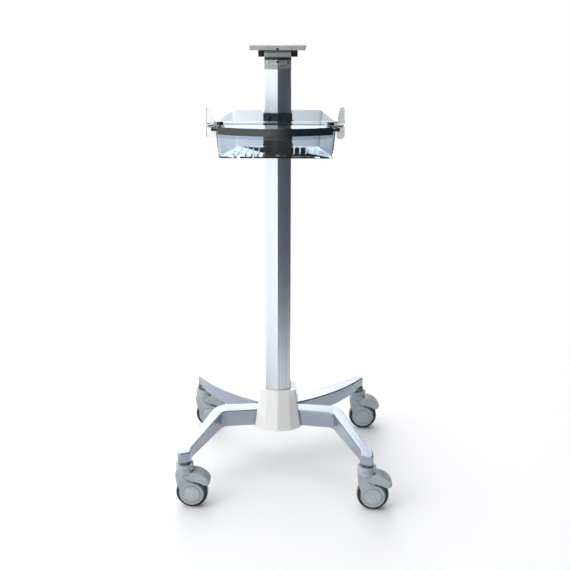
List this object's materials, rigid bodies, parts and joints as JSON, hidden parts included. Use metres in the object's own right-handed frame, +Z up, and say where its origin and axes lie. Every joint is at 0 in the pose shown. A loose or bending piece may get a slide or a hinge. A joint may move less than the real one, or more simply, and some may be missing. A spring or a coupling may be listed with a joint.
{
  "type": "wheeled medical equipment stand",
  "caption": "Wheeled stand for an ultrasound machine: tilting top plate on a column, clear tray with cable hooks, splayed legs on braked casters.",
  "frame": {"origin": "on the floor, on the column's axis, midway between the four casters' swivel axes", "axes": "+Z up, -Y towards the user and the tray, +X to the user's right"},
  "size_m": [0.5075, 0.4735, 1.055],
  "materials": {
    "bright_steel": "plated, satin",
    "dark_steel": "zinc plated, dull",
    "black_steel": "black oxide",
    "anodised_aluminium": "satin clear anodised",
    "grey_casting": "satin cast",
    "grey_paint": "fine satin powder coat",
    "blue_grey_paint": "satin powder coat",
    "black_plastic": "fine texture",
    "clear_tray_plastic": "clear, slightly blue smoked",
    "smoked_plastic": "clear, dark smoked",
    "frosted_plastic": "clear, lightly frosted",
    "white_plastic": "gloss moulded",
    "core_aluminium": "as cast",
    "silver_paint": "satin silver-blue powder coat",
    "caster_plastic": "satin light grey",
    "caster_cap_plastic": "satin light grey",
    "rim_plastic": "satin grey",
    "tyre_rubber": "smooth non-marking rubber"
  },
  "bodies": {
    "stand": {"base_bolts": "bright_steel", "base_plate": "dark_steel", "bracket_screws": "bright_steel", "cable_hook_left": "frosted_plastic", "cable_hook_right": "frosted_plastic", "cap_screws": "bright_steel", "cap_set_screw": "black_steel", "caster_stem_front_left": "bright_steel", "caster_stem_front_right": "bright_steel", "caster_stem_rear_left": "bright_steel", "caster_stem_rear_right": "bright_steel", "column": "anodised_aluminium", "column_cap": "grey_casting", "front_handle": "smoked_plastic", "hook_knobs": "black_plastic", "hook_nuts": "black_plastic", "hub_core": "core_aluminium", "hub_cover": "white_plastic", "leg_front_left": "silver_paint", "leg_front_right": "silver_paint", "leg_rear_left": "silver_paint", "leg_rear_right": "silver_paint", "swivel_washer": "black_plastic", "tray_bin": "clear_tray_plastic", "tray_bracket": "black_plastic", "tray_screws": "black_steel"},
    "head_swivel": {"tilt_block": "blue_grey_paint", "swivel_spigot": "bright_steel", "spigot_nut": "bright_steel"},
    "tilt_plate": {"mounting_plate": "grey_paint", "tilt_carrier": "grey_paint", "carrier_screws": "bright_steel", "plate_lock_screw": "black_steel", "tilt_knuckle_left": "black_plastic", "tilt_knuckle_right": "black_plastic", "tilt_axle": "bright_steel"},
    "caster_front_left": {"fork_front_left": "caster_plastic", "pedal_pin_front_left": "bright_steel", "wheel_axle_front_left": "caster_cap_plastic"},
    "wheel_front_left": {"wheel_rim_front_left": "rim_plastic", "tyre_front_left": "tyre_rubber"},
    "pedal_front_left": {"brake_pedal_front_left": "caster_plastic"},
    "caster_front_right": {"fork_front_right": "caster_plastic", "pedal_pin_front_right": "bright_steel", "wheel_axle_front_right": "caster_cap_plastic"},
    "wheel_front_right": {"wheel_rim_front_right": "rim_plastic", "tyre_front_right": "tyre_rubber"},
    "pedal_front_right": {"brake_pedal_front_right": "caster_plastic"},
    "caster_rear_left": {"fork_rear_left": "caster_plastic", "pedal_pin_rear_left": "bright_steel", "wheel_axle_rear_left": "caster_cap_plastic"},
    "wheel_rear_left": {"wheel_rim_rear_left": "rim_plastic", "tyre_rear_left": "tyre_rubber"},
    "pedal_rear_left": {"brake_pedal_rear_left": "caster_plastic"},
    "caster_rear_right": {"fork_rear_right": "caster_plastic", "pedal_pin_rear_right": "bright_steel", "wheel_axle_rear_right": "caster_cap_plastic"},
    "wheel_rear_right": {"wheel_rim_rear_right": "rim_plastic", "tyre_rear_right": "tyre_rubber"},
    "pedal_rear_right": {"brake_pedal_rear_right": "caster_plastic"}
  },
  "joints": [
    {"name": "head_pan", "type": "hinge", "parent": "stand", "child": "head_swivel", "pos_m": [0, 0, 1.0253], "axis": [0, 0, 1], "range_deg": [-170, 170]},
    {"name": "plate_tilt", "type": "hinge", "parent": "head_swivel", "child": "tilt_plate", "pos_m": [0, 0, 1.033], "axis": [1, 0, 0], "range_deg": [-15, 15]},
    {"name": "swivel_front_left", "type": "hinge", "parent": "stand", "child": "caster_front_left", "pos_m": [-0.213, -0.213, 0.11], "axis": [0, 0, 1], "continuous": true},
    {"name": "roll_front_left", "type": "hinge", "parent": "caster_front_left", "child": "wheel_front_left", "pos_m": [-0.197, -0.213, 0.0375], "axis": [0, 1, 0], "continuous": true},
    {"name": "brake_front_left", "type": "hinge", "parent": "caster_front_left", "child": "pedal_front_left", "pos_m": [-0.204, -0.213, 0.085], "axis": [0, 1, 0], "range_deg": [0, 8]},
    {"name": "swivel_front_right", "type": "hinge", "parent": "stand", "child": "caster_front_right", "pos_m": [0.213, -0.213, 0.11], "axis": [0, 0, 1], "continuous": true},
    {"name": "roll_front_right", "type": "hinge", "parent": "caster_front_right", "child": "wheel_front_right", "pos_m": [0.229, -0.213, 0.0375], "axis": [0, 1, 0], "continuous": true},
    {"name": "brake_front_right", "type": "hinge", "parent": "caster_front_right", "child": "pedal_front_right", "pos_m": [0.222, -0.213, 0.085], "axis": [0, 1, 0], "range_deg": [0, 8]},
    {"name": "swivel_rear_left", "type": "hinge", "parent": "stand", "child": "caster_rear_left", "pos_m": [-0.213, 0.213, 0.11], "axis": [0, 0, 1], "continuous": true},
    {"name": "roll_rear_left", "type": "hinge", "parent": "caster_rear_left", "child": "wheel_rear_left", "pos_m": [-0.197, 0.213, 0.0375], "axis": [0, 1, 0], "continuous": true},
    {"name": "brake_rear_left", "type": "hinge", "parent": "caster_rear_left", "child": "pedal_rear_left", "pos_m": [-0.204, 0.213, 0.085], "axis": [0, 1, 0], "range_deg": [0, 8]},
    {"name": "swivel_rear_right", "type": "hinge", "parent": "stand", "child": "caster_rear_right", "pos_m": [0.213, 0.213, 0.11], "axis": [0, 0, 1], "continuous": true},
    {"name": "roll_rear_right", "type": "hinge", "parent": "caster_rear_right", "child": "wheel_rear_right", "pos_m": [0.229, 0.213, 0.0375], "axis": [0, 1, 0], "continuous": true},
    {"name": "brake_rear_right", "type": "hinge", "parent": "caster_rear_right", "child": "pedal_rear_right", "pos_m": [0.222, 0.213, 0.085], "axis": [0, 1, 0], "range_deg": [0, 8]}
  ]
}
